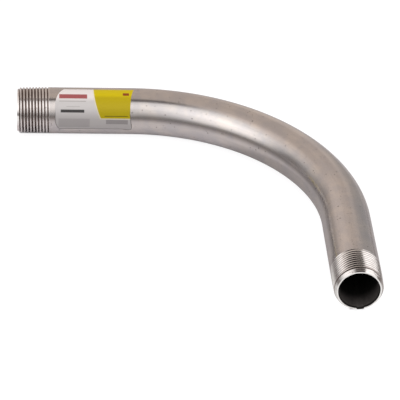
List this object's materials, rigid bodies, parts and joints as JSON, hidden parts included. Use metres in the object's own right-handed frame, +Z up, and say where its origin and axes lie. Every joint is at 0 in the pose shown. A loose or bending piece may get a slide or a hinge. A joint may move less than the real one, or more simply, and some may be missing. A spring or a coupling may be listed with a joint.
{
  "type": "conduit elbow",
  "caption": "Long-radius quarter bend of stainless pipe with a tapered thread on each end and a film label on one leg.",
  "frame": {"origin": "on the surface that the elbow lies on, under the middle of its outline", "axes": "+Z up, at right angles to the plane of the bend; the labelled leg's open end faces -X and the other leg's open end faces -Y"},
  "size_m": [0.1944, 0.1944, 0.0268],
  "materials": {
    "stainless": "satin, bright where the thread is cut",
    "label_film": "printed film, semi-gloss"
  },
  "bodies": {
    "root": {"conduit_elbow": "stainless", "label": "label_film"}
  },
  "joints": []
}
